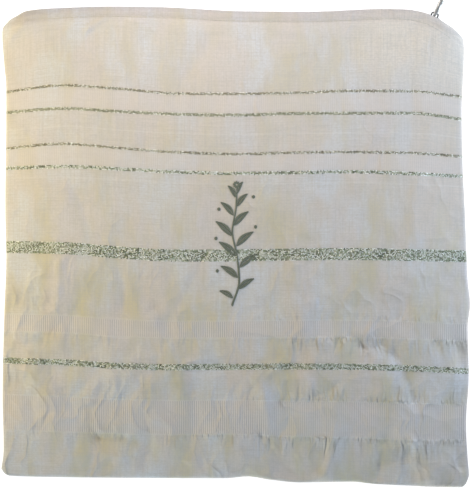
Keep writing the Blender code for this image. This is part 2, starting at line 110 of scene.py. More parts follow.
# Creases: ends, height, half width, lean to one side, sideways bow (the first 18 lie where the CAD's do)
creases = np.array((
    (-16, 134, -31, 112, -1, 9, 0, 2),
    (140, 126, 110, 105, 0.45, 9, 0.3, -3),
    (112, 104, 113, 61, -1, 8, 0.2, 2),
    (118, 44, 116, 0, 1, 9, 0, -2),
    (-109, 44, -94, 7, -1.2, 9, -0.3, 3),
    (-115, -12, -117, -43, 1, 9, 0.2, 1),
    (-75, -15, -73, -43, -0.9, 8, 0, 2),
    (-55, -50, -34, -100, 1.3, 9, 0.3, 4),
    (-118, -82, -90, -125, -1, 11, 0.2, -4),
    (-90, -125, -60, -131, -1, 8, 0, 2),
    (38, -15, 51, -75, 1.2, 9, 0.2, -4),
    (77, -60, 86, -76, -1.2, 8, 0, 1),
    (96, -67, 116, -100, -1.6, 9, 0.3, 3),
    (14, -88, 21, -125, 1.2, 9, 0.2, 2),
    (21, -125, 42, -151, -1.8, 10, -0.3, -3),
    (62, -127, 56, -151, 1.3, 8, 0, 2),
    (96, -127, 92, -153, -1, 8, 0.3, -1),
    (114, -127, 127, -153, 1.4, 8, 0, 2),
    (-16, 134.5, -31, 111.7, -0.4, 3.5, 0.5, 2),
    (148, 130.6, 110.4, 104.6, 0.22, 2.2, 0.6, -3),
    (112.3, 113, 113, 61, -0.45, 3, 0.4, 2),
    (118.2, 43.5, 116.2, -0.7, 0.54, 3.2, 0.4, -2),
    (-109.3, 43.5, -94.4, 7.1, -0.61, 3.2, -0.4, 3),
    (-115.2, -12.4, -117.1, -43, 0.9, 2.2, 0.5, 1),
    (-76.8, -15, -72.9, -43, -0.63, 2.6, 0.3, 2),
    (-55.4, -49.5, -33.9, -99.5, 0.72, 3.2, 0.4, 4),
    (-118.4, -82, -89.8, -125.5, -0.54, 3.4, 0.4, -4),
    (-89.8, -125.5, -59.9, -130.7, -0.72, 2.8, 0.3, 2),
    (37.6, -15, 50.6, -75.5, 0.72, 3.2, 0.4, -4),
    (81.1, -21.5, 74.6, -36.5, 0.72, 2.6, 0, 0),
    (76.6, -60.5, 86.3, -75.5, -0.9, 2.6, 0.5, 1),
    (96.1, -67, 115.6, -100.2, -0.8, 3.2, 0.6, 3),
    (14.2, -88.5, 20.7, -125.5, 1.08, 3.6, 0.5, 2),
    (20.7, -125.5, 42.1, -151.5, -0.8, 3.8, -0.5, -3),
    (6.4, -134, 3.1, -145, 0.72, 2.6, 0, 0),
    (61.6, -127.5, 56.4, -151.5, 1.26, 2.8, 0.4, 2),
    (96.1, -127.5, 92.2, -153.5, -0.9, 2.6, 0.4, -1),
    (113.6, -127.5, 126.6, -153.5, 1.26, 3, 0.5, 2),
    (92.2, -83.9, 94.1, -101.5, 0.72, 2.4, 0, 1),
    (44.1, -86.5, 50.6, -99.5, 0.63, 2.6, 0.3, 1),
    (24.6, -88.5, 29.1, -101.5, -0.63, 2.6, 0, 1),
    (-96.3, 137.2, -84.3, 145.5, 1.5, 1.7, 0.6, 1),
    (-67.1, 144, -54.1, 138.3, 1.0, 1.8, 0.6, 1),
    (-147.5, 130, -136.5, 142, 1.1, 2, 0.3, 1),
    (-148.3, 76, -131.4, 67.5, 0.47, 3, 0.4, 2),
    (50.6, 33.1, 61.6, 20.1, 0.47, 3.2, 0, 1),
    (68, 134, 68, 115, 0.3, 3, 0.3, 1),
    (60.3, -31.9, 60.3, -43, 0.63, 2.6, 0, 1),
    (107.1, -25.4, 107.1, -47.5, -1.08, 5, 0.2, 1),
    (-62, 92, -40, 70, 0.41, 5, 0.2, 3),
    (20, 122, 44, 104, -0.3, 5, 0.2, 2),
    (-128, 112, -104, 118, 0.3, 4, 0.3, 2),
    (-30, 30, -52, 8, 0.41, 5, 0.2, -3),
    (70, 20, 96, -2, -0.41, 5, 0.2, 2),
    (-130, -60, -104, -66, 0.54, 4, 0.2, 1),
    (-20, -60, 4, -76, -0.63, 5, 0.3, 2),
    (-8, 20, 6, -18, 0.25, 6, 0, 1),
    (134, -60, 142, -88, 0.9, 4, 0.3, 1),
    (128, 20, 140, -6, 0.47, 4, 0.2, 1),
    (-140, -92, -130, -118, -0.72, 4, 0.3, 1),
    (-40, -132, -22, -148, 1.08, 4, 0.3, 1),
    (-74, -138, -70, -150, 0.72, 3, 0.2, 0),
    (74, 92, 92, 76, 0.41, 4.5, 0.2, 2),
    (-84, -60, -78, -96, 0.63, 5, 0.2, 2),
))


# Small waves and sharp crumples of the front: wave length, size
folds = {
    "waves": ((92, 0.24), (64, 0.22), (45, 0.2), (33, 0.18), (24, 0.13), (17, 0.10), (12, 0.07)),
    "wavesEach": 5, "waveSize": 0.45, "waveBend": 2.2,
    "crumples": ((70, 0.42), (52, 0.36), (38, 0.28), (27, 0.2), (19, 0.13), (13, 0.08)),
    "crumplesEach": 3, "crumpleTurn": 0.5, "crumpleRise": 2.6, "crumpleSharp": 2.2,
}


def towardsBottom(y, middle, spread):
    # 0 above the middle height, 1 below it
    return 1 / (1 + np.exp((y - middle) / spread))


def turnedPlace(x, y, turn):
    return x * math.cos(turn) + y * math.sin(turn), y * math.cos(turn) - x * math.sin(turn)


def creaseHeight(x, y):
    total = np.zeros_like(x)
    for startX, startY, endX, endY, rise, width, skew, bow in creases:
        wayX, wayY = endX - startX, endY - startY
        length = math.hypot(wayX, wayY)
        t = ((x - startX) * wayX + (y - startY) * wayY) / length ** 2
        side = ((y - startY) * wayX - (x - startX) * wayY) / length
        side = side - bow * 4 * np.clip(t, 0, 1) * (1 - np.clip(t, 0, 1))
        beyond = np.maximum(0, np.maximum(-t, t - 1)) * length
        away = side / width
        line = np.exp(-away ** 2 - (beyond / width) ** 2)
        total += rise * line * (1 + skew * np.clip(away, -1.5, 1.5))
    return total * (1 + 0.2 * towardsBottom(y, -40, 15))


def softWaves(x, y):
    total = np.zeros_like(x)
    random = np.random.default_rng(7)
    for wave, size in folds["waves"]:
        for _ in range(folds["wavesEach"]):
            turn = random.uniform(0, math.pi)
            start = random.uniform(0, 2 * math.pi)
            bend = random.uniform(0.4, 1.2)
            across, along = turnedPlace(x, y, turn)
            phase = start + bend * np.sin(along * folds["waveBend"] / wave + start)
            total += size * folds["waveSize"] * np.sin(across * 2 * math.pi / wave + phase)
    return total * (0.85 + 0.75 * towardsBottom(y, -25, 18))


def crumples(x, y):
    # sharp crests that run mostly up and down, stronger towards the bottom
    total = np.zeros_like(x)
    random = np.random.default_rng(23)
    for wave, size in folds["crumples"]:
        for _ in range(folds["crumplesEach"]):
            turn = random.normal(0, folds["crumpleTurn"])
            start, other = random.uniform(0, 2 * math.pi, 2)
            way = 1 if other > math.pi else -1
            across, along = turnedPlace(x, y, turn)
            bend = 1.1 * np.sin(along * 1.7 / wave + other) + 0.5 * np.sin(along * 4.1 / wave + start)
            crest = 1 - np.abs(np.sin(across * math.pi / wave + bend + start))
            patch = np.sin(along * 2.3 / wave + other * 2) * np.sin(across * 1.3 / wave + start * 3)
            rise = folds["crumpleRise"] * size * crest ** folds["crumpleSharp"]
            total += rise * np.clip(patch, 0, 1) * way
    return total * (0.45 + 1.25 * towardsBottom(y, -30, 20))


def frontHeight(gaps, x, y):
    left, right, bottom, top = gaps
    nearTop = np.exp(-(top / shape["shoulderReach"]) ** 2)
    spread = shape["domeSpread"] + (shape["zipEndSpread"] - shape["domeSpread"]) * nearTop
    full = easeIn(left, spread) * easeIn(right, spread) * easeIn(bottom, shape["domeSpread"])
    turned = quarterRound(left, shape["edgeRoll"]) * quarterRound(right, shape["edgeRoll"])
    turned = turned * quarterRound(bottom, shape["edgeRoll"])
    crown = shape["topRise"] + (shape["domeRise"] - shape["topRise"]) * easeIn(top, shape["domeSpread"])
    height = shape["edgeLift"] * turned + crown * full
    height = height * (1 - shape["topDrop"] * (1 - quarterRound(top, shape["topRoll"])))
    groove = np.exp(-((top - shape["topRoll"]) / shape["grooveWidth"]) ** 2)
    hem = easeIn(top, shape["topRoll"]) * (1 - easeIn(top - shape["hemEnd"], shape["hemFade"]))
    fade = easeIn(left, shape["foldFade"]) * easeIn(right, shape["foldFade"])
    fade = fade * easeIn(bottom, shape["foldFade"])
    detail = shape["hemRaise"] * hem - shape["grooveDepth"] * groove
    inside = easeIn(top, shape["topRoll"])
    detail = detail + (creaseHeight(x, y) + softWaves(x, y) + crumples(x, y)) * inside
    return shape["seamTop"] + height + detail * fade


def backHeight(gaps, x, y):
    flat = 1.0
    for gap in gaps:
        flat = flat * quarterRound(gap, shape["backRoll"])
    return shape["backRoll"] * (1 - flat)


def patchPoints(across, up, setback, height):
    u, v = np.meshgrid(across, up)
    leftY = leftEdge[0, 1] + (leftEdge[-1, 1] - leftEdge[0, 1]) * v
    rightY = rightEdge[0, 1] + (rightEdge[-1, 1] - rightEdge[0, 1]) * v
    leftX = curveValues(leftEdge, leftY, 1)
    rightX = curveValues(rightEdge, rightY, 1)
    lowX = bottomEdge[0, 0] + (bottomEdge[-1, 0] - bottomEdge[0, 0]) * u
    highX = topEdge[0, 0] + (topEdge[-1, 0] - topEdge[0, 0]) * u
    lowY = curveValues(bottomEdge, lowX)
    ends = easeIn(highX - topEdge[0, 0], shape["zipEndSpread"])
    ends = ends * easeIn(topEdge[-1, 0] - highX, shape["zipEndSpread"])
    highY = curveValues(topEdge, highX) - setback * ends
    corner = {"lowLeft": bottomEdge[0], "lowRight": bottomEdge[-1],
              "highLeft": topEdge[0], "highRight": topEdge[-1]}

    def blend(left, right, low, high, axis):
        spot = left * (1 - u) + right * u + low * (1 - v) + high * v
        spot = spot - (corner["lowLeft"][axis] * (1 - u) + corner["lowRight"][axis] * u) * (1 - v)
        return spot - (corner["highLeft"][axis] * (1 - u) + corner["highRight"][axis] * u) * v

    x = blend(leftX, rightX, lowX, highX, 0)
    y = blend(leftY, rightY, lowY, highY, 1)
    gaps = (x - leftX, rightX - x, y - lowY, highY - y)
    gaps = [np.maximum(gap, 0) for gap in gaps]
    return np.stack((x, y, height(gaps, x, y)), axis=-1)


def shareList(length, near, far, pitch):
    # places along a side, as shares: close together at both ends
    room = length - near[-1] - far[-1]
    steps = round(room / pitch)
    middle = near[-1] + room * np.arange(1, steps) / steps
    return np.concatenate((near, middle, length - far[::-1])) / length


def rollSteps(radius, count, after=()):
    turned = radius * (1 - np.cos(np.linspace(0, math.pi / 2, count + 1)))
    return np.concatenate((turned, after))


# The weave follows the stripes, whose middles were measured at nine columns
stripeColumns = np.linspace(-149.7, 149.8, 9)
stripes = (
    {"name": "bottom", "at": -155, "y": (-150, -151.5, -152.3, -152.5, -152, -155, -155.5, -157.5, -157)},
    {"name": "lower", "at": -79.5, "y": (-75.8, -76.8, -79.1, -79.9, -79.7, -79.4, -79.6, -80.7, -82.6)},
    {"name": "wide", "at": -6.5, "y": (-2.0, -2.7, -5.6, -7.6, -7.5, -6.9, -6.6, -7.2, -8.1)},
    {"name": "fourth", "at": 46.5, "y": (49.1, 50.1, 48.5, 46.5, 45.6, 46.1, 46.7, 45.6, 43.7)},
    {"name": "third", "at": 60.0, "y": (61.9, 64.9, 62.1, 59.4, 58.2, 59.1, 59.5, 59.0, 56.7)},
    {"name": "second", "at": 84.5, "y": (85.2, 87.7, 85.7, 84.0, 83.4, 84.4, 84.6, 84.8, 80.6)},
    {"name": "first", "at": 98.0, "y": (98.5, 102.8, 100.5, 97.4, 97.2, 97.8, 99.1, 99.1, 95.4)},
    {"name": "top", "at": 153, "y": (147, 152.5, 154, 153.3, 151.3, 150.7, 151.6, 152.2, 139)},
)
stripeTables = {row["name"]: np.column_stack((stripeColumns, row["y"])) for row in stripes}


def stripeY(name, x):
    return curveValues(stripeTables[name], np.clip(x, stripeColumns[0] - 3, stripeColumns[-1] + 3))


def weaveHeight(x, y):
    # the cloth's own height up the weave, where the stripes are straight
    lows = np.stack([stripeY(row["name"], x) for row in stripes])
    marks = np.array([row["at"] for row in stripes], float)
    index = np.clip((lows <= y).sum(axis=0) - 1, 0, len(marks) - 2)
    low = np.take_along_axis(lows, index[None], axis=0)[0]
    high = np.take_along_axis(lows, index[None] + 1, axis=0)[0]
    return marks[index] + (marks[index + 1] - marks[index]) * (y - low) / (high - low)


weaveMap = {"low": (-160.0, -165.0), "size": (320.0, 330.0)}


def addWeaveMap(mesh):
    spots = np.empty(len(mesh.vertices) * 3)
    mesh.vertices.foreach_get("co", spots)
    spots = spots.reshape(-1, 3) / mm
    loops = np.empty(len(mesh.loops), int)
    mesh.loops.foreach_get("vertex_index", loops)
    u = (spots[:, 0] - weaveMap["low"][0]) / weaveMap["size"][0]
    v = (weaveHeight(spots[:, 0], spots[:, 1]) - weaveMap["low"][1]) / weaveMap["size"][1]
    layer = mesh.uv_layers.new(name="weave")
    layer.data.foreach_set("uv", np.column_stack((u, v))[loops].ravel())


def finishPiece(name, mesh, material, body, smooth=True):
    mesh.materials.append(material)
    piece = bpy.data.objects.new(name, mesh)
    bpy.context.scene.collection.objects.link(piece)
    if smooth:
        mesh.shade_smooth()
    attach(piece, body)
    return piece


def meshFromArrays(name, points, faces):
    mesh = bpy.data.meshes.new(name)
    mesh.from_pydata((np.asarray(points).reshape(-1, 3) * mm).tolist(), [], faces)
    return mesh


def meshFromBmesh(name, bm):
    bmesh.ops.recalc_face_normals(bm, faces=bm.faces)
    if bm.calc_volume(signed=True) < 0:
        bmesh.ops.reverse_faces(bm, faces=bm.faces)
    bmesh.ops.scale(bm, vec=(mm, mm, mm), verts=bm.verts)
    mesh = bpy.data.meshes.new(name)
    bm.to_mesh(mesh)
    bm.free()
    return mesh


class Wire:
    # a shader socket that takes part in sums
    def __init__(self, tree, socket):
        self.tree = tree
        self.socket = socket

    def solve(self, operation, *values):
        return addNode(self.tree, "Math", {"operation": operation}, dict(enumerate(values)))

    def __add__(self, other):
        return self.solve("ADD", self, other)

    def __sub__(self, other):
        return self.solve("SUBTRACT", self, other)

    def __rsub__(self, other):
        return self.solve("SUBTRACT", other, self)

    def __mul__(self, other):
        return self.solve("MULTIPLY", self, other)

    def __pow__(self, other):
        return self.solve("POWER", self, other)

    __radd__ = __add__
    __rmul__ = __mul__

    def sine(self):
        return self.solve("SINE", self)

    def size(self):
        return self.solve("ABSOLUTE", self)

    def highest(self, other):
        return self.solve("MAXIMUM", self, other)

    def step(self, low, high, first=0.0, last=1.0):
        # smooth change from first to last between two values
        values = {"Value": self, "From Min": low, "From Max": high, "To Min": first, "To Max": last}
        return addNode(self.tree, "MapRange", {"interpolation_type": "SMOOTHSTEP"}, values)

    def within(self, middle, half, soft):
        # 1 inside a band, 0 outside it
        return (self - middle).size().step(half - soft, half + soft, 1.0, 0.0)


def joinTo(tree, target, value):
    if isinstance(value, Wire):
        tree.links.new(value.socket, target)
    else:
        target.default_value = value


def addNode(tree, kind, settings, values, output=0):
    node = tree.nodes.new("ShaderNode" + kind)
    for name, value in settings.items():
        setattr(node, name, value)
    for key, value in values.items():
        joinTo(tree, node.inputs[key], value)
    return Wire(tree, node.outputs[output])


class Finish:
    # one material, built round its Principled shader
    def __init__(self, name, constants):
        self.material = bpy.data.materials.new(name)
        self.material.use_nodes = True
        self.tree = self.material.node_tree
        self.shader = self.tree.nodes["Principled BSDF"]
        for socketName, value in constants.items():
            self.feed(socketName, value)

    def node(self, kind, settings=None, values=None, output=0):
        return addNode(self.tree, kind, settings or {}, values or {}, output)

    def feed(self, socketName, value):
        joinTo(self.tree, self.shader.inputs[socketName], value)

    def mix(self, share, first, second, blendType="MIX"):
        first, second = [(*tint, 1.0) if isinstance(tint, tuple) else tint for tint in (first, second)]
        settings = {"data_type": "RGBA", "blend_type": blendType}
        return self.node("Mix", settings, {0: share, 6: first, 7: second}, output=2)

    def axes(self, place):
        parts = self.node("SeparateXYZ", values={0: place})
        return [Wire(self.tree, socket) for socket in parts.socket.node.outputs]

    def weavePlace(self):
        # x and y in millimetres, straight along the weave
        place = self.axes(self.node("UVMap", {"uv_map": "weave"}))
        return [axis * size + low for axis, size, low in zip(place, weaveMap["size"], weaveMap["low"])]

    def objectPlace(self):
        # x, y and z in millimetres
        return [axis * (1 / mm) for axis in self.axes(self.node("TexCoord", output=3))]

    def noise(self, place, detail=3.0, roughness=0.5):
        spot = self.node("CombineXYZ", values=dict(enumerate(place)))
        values = {"Vector": spot, "Scale": 1.0, "Detail": detail, "Roughness": roughness}
        return self.node("TexNoise", values=values)

    def grain(self, scale, detail=3.0):
        # noise that is alike along X, Y and Z
        return self.noise([axis * scale for axis in self.objectPlace()], detail)

    def bump(self, height, distance, strength=1.0, normal=None):
        values = {"Height": height, "Distance": distance, "Strength": strength}
        if normal is not None:
            values["Normal"] = normal
        return self.node("Bump", values=values)


# Woven cloth of the front, with its satin bands and dark stripe grounds, and painted light and shade on its
# folds, ribs, patches and top roll
clothLook = {
    "threadPitch": 0.62, "ribPitch": 1.4, "weaveDepth": 0.11, "foldDepth": 0.8,
    "cream": (0.69, 0.625, 0.575), "pale": (0.69, 0.655, 0.655), "satin": (0.635, 0.585, 0.555),
    # the yellow-brown tint is painted shade and the pale blue tint painted light, on the folds and patches
    "paintedShadeYellow": (0.62, 0.57, 0.385), "paintedLightBlue": (0.69, 0.71, 0.75), "shade": (0.53, 0.50, 0.455),
    # the ribs' dark and pale tints are painted shade and painted highlight
    "ribPaintedShade": (0.47, 0.43, 0.415), "ribPaintedHighlight": (0.80, 0.745, 0.71), "line": (0.80, 0.78, 0.74),
    # the warm and sunny tints are painted light
    "ground": (0.34, 0.345, 0.25), "paintedWarmLight": (0.70, 0.61, 0.52), "paintedLightPatch": (0.86, 0.79, 0.70),
    # the hem tint is painted shade on the top edge's roll
    "hem": (0.80, 0.80, 0.835),
}
# Satin bands: middle, half height, strength of the ribs
satinBands = ((91.2, 4.9, 0.3), (53.2, 4.9, 0.3), (-55.0, 5.2, 1.25), (-113.5, 11.2, 1.25))
# Gathers beside the satin bands: edge, way they run, reach, start along X, strength
gatherRows = (
    (-60.2, -1, 17.0, -10.0, 1.0), (-49.8, 1, 9.0, -60.0, 0.4),
    (-124.7, -1, 20.0, -60.0, 1.0), (-102.3, 1, 16.0, -10.0, 0.9),
)
# Woven lines, and dark grounds under the stripes: middle, half height
wovenLines = ((72.1, 0.5), (39.6, 0.5), (-49.4, 0.45), (-60.6, 0.45), (-101.9, 0.45), (-125.1, 0.45))
stripeGrounds = ((98.0, 0.62), (84.5, 0.75), (60.0, 0.65), (46.5, 0.78), (-6.5, 3.7), (-79.5, 1.75))
# Noises: scale along X and up Y, start along X and up Y, detail, roughness
clothNoises = {
    "wander": (0.05, 0.05, 0, 0, 2.0, 0.5), "cloudy": (0.021, 0.021, 0, 0, 4.0, 0.55),
    "slubAcross": (0.045, 1.9, 0, 0, 3.0, 0.6), "slubUp": (1.9, 0.035, 0, 0, 3.0, 0.6),
    "grain": (0.55, 0.75, 0, 0, 2.0, 0.6), "shadedPatches": (0.046, 0.014, 7.0, 0, 4.0, 0.6),
    "litPatches": (0.040, 0.016, 31.0, 5.0, 4.0, 0.6), "pleat": (0.50, 0.09, 0, 0, 1.0, 0.4),
    "tuft": (0.06, 0.02, 0, 3.0, 2.0, 0.5), "stray": (0.03, 0.03, 0, 11.0, 2.0, 0.5),
    "gather": (0.13, 0.02, 0, 0, 2.0, 0.5), "spread": (0.03, 0.03, 8.0, 0, 1.0, 0.5),
    "restless": (0.017, 0.017, 5.0, 0, 2.0, 0.5), "longWrinkle": (0.036, 0.017, 0, 0, 1.5, 0.45),
    "shortWrinkle": (0.060, 0.026, 17.0, 17.0, 1.5, 0.45),
    "slantWrinkle": (0.030, 0.040, 29.0, 29.0, 1.5, 0.45),
}


def makeClothFinish():
    look = clothLook
    constants = {"Sheen Weight": 0.18, "Sheen Roughness": 0.45, "Specular IOR Level": 0.25}
    finish = Finish("stripedCloth", constants)
    x, y = finish.weavePlace()

    def uneven(name, push=0.0):
        across, up, startX, startY, detail, roughness = clothNoises[name]
        return finish.noise((x * across + startX + push, y * up + startY), detail, roughness)

    # threads, satin bands with their ribs, and stripes
    wander = uneven("wander") * 5.0
    turn = 2 * math.pi / look["threadPitch"]
    weave = (x * turn + wander).sine() * (y * turn + wander * 0.7).sine()
    slubAcross, slubUp, cloudy = uneven("slubAcross"), uneven("slubUp"), uneven("cloudy")
    bands = [y.within(middle, half, 0.35) for middle, half, ribs in satinBands]
    satin = sum(bands)
    ribbed = sum(band * ribs for band, (middle, half, ribs) in zip(bands, satinBands))
    ribbed = ribbed * cloudy.step(0.30, 0.62, 1.0, 0.45)
    rib = (x * (2 * math.pi / look["ribPitch"]) + wander * 0.35).sine()
    lines = sum(y.within(middle, half, 0.25) for middle, half in wovenLines)
    frayed = y + (slubUp - 0.5) * 0.5
    ground = sum(frayed.within(middle, half, 0.3) for middle, half in stripeGrounds)

    # gathers, tight near a satin band and wide farther off
    near, far = 0.0, 0.0
    for edge, way, reach, start, strength in gatherRows:
        away = (y - edge) * way
        row = x.step(start, start + 60, 0.3, 1.0) * strength
        near = near + row * away.step(-0.6, 1.5) * away.step(1.0, 5.0, 1.0, 0.0)
        far = far + row * away.step(-2.0, 5.0) * away.step(4.0, reach, 1.0, 0.0)
    pleat = uneven("pleat").step(0.38, 0.62)
    tuft = uneven("tuft").step(0.40, 0.60, 0.25, 1.0)
    stray = uneven("stray") * 1.6
    gather = uneven("gather", stray).step(0.40, 0.60)
    far = far * uneven("spread").step(0.38, 0.60, 0.3, 1.0)

    # colours laid over each other: where, how much, which
    layers = (
        # painted shade in yellow-brown and painted light in pale blue: in patches, and on the two sides of
        # the wide gathers
        (uneven("shadedPatches", cloudy * 0.6).step(0.42, 0.66) * y.step(-40.0, 80.0, 1.0, 0.6), 0.95, "paintedShadeYellow"),
        (uneven("litPatches").step(0.44, 0.66), 0.9, "paintedLightBlue"),
        (far * gather, 0.35, "paintedLightBlue"),
        (far * (1 - gather), 0.40, "paintedShadeYellow"),
        # a warmer patch on the right and a much paler one at the top right: painted light
        (x.step(85, 125) * y.step(-10, 30), 0.6, "paintedWarmLight"),
        (x.step(50, 110) * y.step(85, 125), 0.6, "paintedLightPatch"),
        (slubAcross.step(0.38, 0.72), 0.45, "shade"),
        (slubUp.step(0.40, 0.72), 0.45, "shade"),
        (uneven("grain").step(0.35, 0.70), 0.35, "shade"),
        (satin, 0.4, "satin"),
        # the ribs take a darker and a paler tint in step with their relief: painted shade and painted
        # highlight along the ribs
        (ribbed * rib.step(0.0, 0.9), 0.55, "ribPaintedShade"),
        (ribbed * rib.step(0.1, -0.9), 0.45, "ribPaintedHighlight"),
        (lines, 0.16, "line"),
        # darker where the weave's threads dip: painted shade in the weave's hollows
        (weave.step(-1.0, 0.6, 1.0, 0.0), 0.10, "shade"),
        (ground, 0.8, "ground"),
    )
    color = finish.mix(cloudy.step(0.32, 0.72), look["cream"], look["pale"])
    for where, share, tint in layers:
        color = finish.mix(where * share, color, look[tint])
    # painted shade: the top edge's roll, where the cloth turns over, is multiplied darker and bluer
    hem = y.step(144.0, 148.0) * 0.55 + y.step(149.5, 152.5) * 0.45
    finish.feed("Base Color", finish.mix(hem, color, look["hem"], "MULTIPLY"))
    finish.feed("Roughness", satin * -0.08 + slubAcross * 0.1 + 0.76)

    # relief: folds first, and the threads on them
    restless = y.step(-150.0, 60.0, 1.0, 0.30) * uneven("restless").step(0.36, 0.62, 0.2, 1.0)
    wrinkles = sum(
        ((uneven(name, stray) - 0.5).size() * -9.0 + 1.0).highest(0.0) ** 1.6 * share
        for name, share in (("longWrinkle", 1.0), ("shortWrinkle", 0.7), ("slantWrinkle", 0.7)))
    rise = (pleat - 0.4) * tuft * near * 1.5 + (gather - 0.5) * far * 2.0 + wrinkles * restless * 1.1
    threads = weave * (1.0 - satin * 0.6) * 0.5 + rib * ribbed * 0.9 + lines * 0.35
    threads = threads + slubAcross * 0.9 + slubUp * 0.9
    bump = finish.bump(rise, look["foldDepth"] * mm)
    finish.feed("Normal", finish.bump(threads, look["weaveDepth"] * mm, 0.85, bump))
    return finish.material


plainLook = {"dark": (0.62, 0.58, 0.51), "pale": (0.68, 0.645, 0.585), "slub": (0.52, 0.49, 0.44)}


def makePlainFinish():
    look = plainLook
    constants = {"Sheen Weight": 0.15, "Sheen Roughness": 0.5, "Specular IOR Level": 0.25}
    finish = Finish("plainCloth", constants)
    x, y = finish.objectPlace()[:2]
    turn = 2 * math.pi / clothLook["threadPitch"]
    weave = (x * turn).sine() * (y * turn).sine()
    slub = finish.noise((x * 0.05, y * 1.7), 3.0, 0.6)
    color = finish.mix(finish.grain(0.02, 4.0).step(0.3, 0.7), look["dark"], look["pale"])
    finish.feed("Base Color", finish.mix(slub.step(0.45, 0.85) * 0.35, color, look["slub"]))
    finish.feed("Roughness", slub * 0.1 + 0.76)
    finish.feed("Normal", finish.bump(weave * 0.5 + slub, 0.0001, 0.8))
    return finish.material


# Cloth walls: distance between points, and thickness
clothWall = {"frontPitch": 1.62, "backPitch": 4.0, "thickness": 1.0}


def buildShell(name, spots, facing, material):
    # a wall of cloth on rows of places, thickened behind its outer face
    rows, columns = spots.shape[:2]
    bm = bmesh.new()
    bmesh.ops.create_grid(bm, x_segments=columns - 1, y_segments=rows - 1, size=0.5)
    for vert in bm.verts:
        column = round((vert.co.x + 0.5) * (columns - 1))
        row = round((vert.co.y + 0.5) * (rows - 1))
        vert.co = spots[row, column]
    bm.normal_update()
    outward = bm.verts.layers.float_vector.new("outward")
    for vert in bm.verts:
        normal = vert.normal * (1 if vert.normal.z * facing > 0 else -1)
        if vert.is_boundary:
            normal.z = 0
            normal.normalize()
        vert[outward] = normal
    grown = bmesh.ops.extrude_face_region(bm, geom=bm.faces[:], use_keep_orig=True)
    for item in grown["geom"]:
        if isinstance(item, bmesh.types.BMVert):
            item.co -= Vector(item[outward]) * clothWall["thickness"]
    mesh = meshFromBmesh(name, bm)
    addWeaveMap(mesh)
    return finishPiece(name, mesh, material, "bag")


width = rightEdge[0, 0] - leftEdge[0, 0]
length = leftEdge[-1, 1] - leftEdge[0, 1]
sideSteps = rollSteps(shape["edgeRoll"], 5, (2.8, 3.9, 5.2))
topSteps = rollSteps(shape["topRoll"], 8, (7.4, 8.3, 9.4, 10.8, 12.3))
frontSpots = patchPoints(
    shareList(width, sideSteps, sideSteps, clothWall["frontPitch"]),
    shareList(length, sideSteps, topSteps, clothWall["frontPitch"]), 0.0, frontHeight)
frontCloth = buildShell("frontCloth", frontSpots, 1, makeClothFinish())
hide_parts("front_panel")
print("front cloth", len(frontCloth.data.polygons))

backSteps = rollSteps(shape["backRoll"], 5, (2.8, 4.4))
backSpots = patchPoints(
    shareList(width, backSteps, backSteps, clothWall["backPitch"]),
    shareList(length, backSteps, backSteps, clothWall["backPitch"]), shape["backSetback"], backHeight)
backCloth = buildShell("backCloth", backSpots, -1, makePlainFinish())
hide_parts("back_panel")
print("back cloth", len(backCloth.data.polygons))

clothSurface = BVHTree.FromPolygons(
    [vert.co[:] for vert in frontCloth.data.vertices],
    [face.vertices[:] for face in frontCloth.data.polygons])


def onCloth(x, y):
    # the front's outer face at one place, and its normal
    spot, normal, _, _ = clothSurface.ray_cast(Vector((x, y, 60)) * mm, Vector((0, 0, -1)))
    if spot is None:
        return Vector((x, y, 0)), Vector((0, 0, 1))
    return spot / mm, normal


def threadMesh(name, paths, ups, radius, sides=6, taper=0.45):
    # round threads along lists of points, joined into one mesh
    points, faces = [], []
    turns = np.arange(sides) * 2 * math.pi / sides
    for path, up in zip(paths, ups):
        path, up = np.asarray(path, float), np.asarray(up, float)
        ways = np.gradient(path, axis=0)
        ways /= np.linalg.norm(ways, axis=1)[:, None]
        across = np.cross(ways, up)
        across /= np.linalg.norm(across, axis=1)[:, None]
        lift = np.cross(across, ways)
        count = len(path)
        scale = np.ones(count)
        scale[0] = scale[-1] = taper
        start = len(points)
        for i in range(count):
            for turn in turns:
                out = across[i] * math.cos(turn) + lift[i] * math.sin(turn)
                points.append(path[i] + radius * scale[i] * out)
        for i in range(count - 1):
            for j in range(sides):
                k = (j + 1) % sides
                a, b = start + i * sides, start + (i + 1) * sides
                faces.append((a + k, a + j, b + j, b + k))
        last = start + (count - 1) * sides
        faces.append(tuple(start + j for j in range(sides)))
        faces.append(tuple(last + j for j in reversed(range(sides))))
    return meshFromArrays(name, points, faces)


# Tinsel threads of the stripes: small bright and dark flat floats
tinsel = (
    {"stripe": "first", "step": 0.85, "rows": 3, "height": 1.9, "tints": "brown", "gap": 0.12},
    {"stripe": "second", "step": 0.85, "rows": 3, "height": 2.2, "tints": "olive", "gap": 0.08},
    {"stripe": "third", "step": 0.85, "rows": 3, "height": 1.9, "tints": "brown", "gap": 0.12},
    {"stripe": "fourth", "step": 0.9, "rows": 3, "height": 2.4, "tints": "green", "gap": 0.10},
    {"stripe": "wide", "step": 0.85, "rows": 11, "height": 7.9, "tints": "green", "gap": 0.05},
    {"stripe": "lower", "step": 0.85, "rows": 6, "height": 4.1, "tints": "green", "gap": 0.06},
)
# Shares of the floats' colours, from bright to dark: the threads' own silver, olive, brown and green, with
# the whitest as painted glints and the darkest as painted dark reflections
tinselTintsAndGlints = {
    "brown": (
        (0.36, (1.0, 0.99, 0.93)), (0.50, (0.66, 0.63, 0.51)),
        (0.80, (0.35, 0.30, 0.20)), (1.0, (0.14, 0.11, 0.07))),
    "olive": (
        (0.26, (1.0, 1.0, 0.93)), (0.48, (0.62, 0.64, 0.50)),
        (0.84, (0.36, 0.37, 0.25)), (1.0, (0.17, 0.18, 0.10))),
    "green": (
        (0.53, (0.97, 1.0, 0.96)), (0.59, (0.62, 0.71, 0.56)),
        (0.81, (0.28, 0.37, 0.22)), (1.0, (0.06, 0.09, 0.04))),
}
